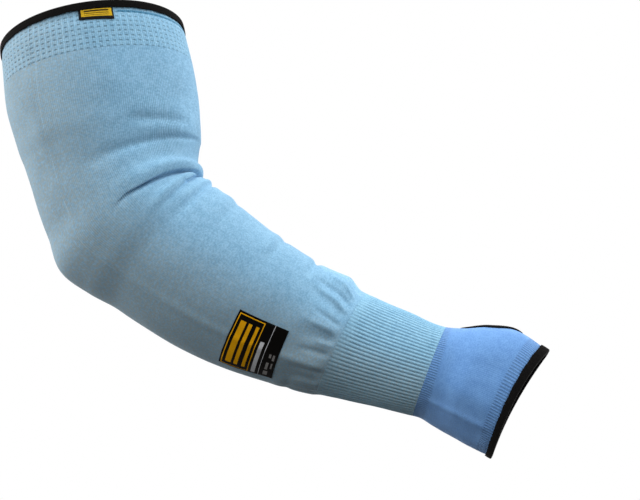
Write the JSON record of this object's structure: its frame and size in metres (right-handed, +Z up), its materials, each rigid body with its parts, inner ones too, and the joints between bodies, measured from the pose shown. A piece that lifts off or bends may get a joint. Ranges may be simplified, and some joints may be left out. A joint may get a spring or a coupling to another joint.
{
  "type": "knit arm sleeve",
  "caption": "Knit arm sleeve with a ribbed wrist, a thumb hole and bound edges, in the form that it takes on a bent arm.",
  "frame": {"origin": "centre of the upper opening, where the upper arm goes in", "axes": "+Z up and out of the upper opening, +X towards the hand opening in the plane of the bent arm, -Y the side with the patch"},
  "size_m": [0.4008, 0.1241, 0.3279],
  "materials": {
    "open_knit": "heathered light blue open knit with small pits in rows",
    "jersey": "heathered blue and grey plain knit, soft and matte",
    "rib_knit": "raised ribs of heathered light blue yarn, matte",
    "cuff_knit": "finer plain knit in a stronger blue, matte",
    "binding": "black overlocked yarn, matte with a soft sheen",
    "label": "black woven label with a gold border and plain gold bars",
    "patch": "black transfer patch with a gold frame and plain bars, satin"
  },
  "bodies": {
    "root": {"top_binding": "binding", "eyelet_welt": "open_knit", "edge_label": "label", "arm_tube": "jersey", "forearm_patch": "patch", "rib_cuff": "rib_knit", "hand_cuff": "cuff_knit", "thumb_binding": "binding", "hand_binding": "binding"}
  },
  "joints": []
}
